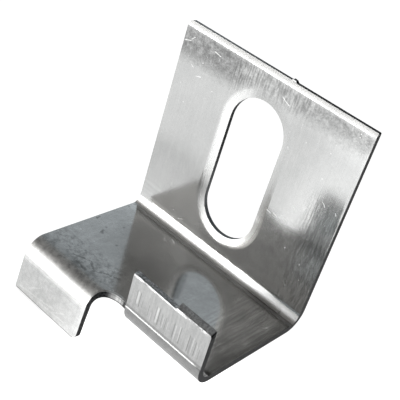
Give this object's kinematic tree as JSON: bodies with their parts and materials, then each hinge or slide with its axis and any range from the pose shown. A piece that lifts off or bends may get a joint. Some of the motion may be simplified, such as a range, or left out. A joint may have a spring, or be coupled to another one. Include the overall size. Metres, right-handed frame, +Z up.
{
  "type": "curtain wall bracket",
  "caption": "Folded stainless sheet bracket: a slotted wall plate, a shelf, an upturned hook and a downturned lip with a notch between them, for holding facade panels.",
  "frame": {"origin": "centre of the bolt slot on the face that lies against the wall", "axes": "+Y into the wall, +Z up along the slot, +X along the folds to the hook's side"},
  "size_m": [0.05, 0.0363, 0.0607],
  "materials": {
    "stainless_sheet": "mill finish with fine rolling grain, light scuffs and dark sheared edges"
  },
  "bodies": {
    "root": {"bracket": "stainless_sheet"}
  },
  "joints": []
}
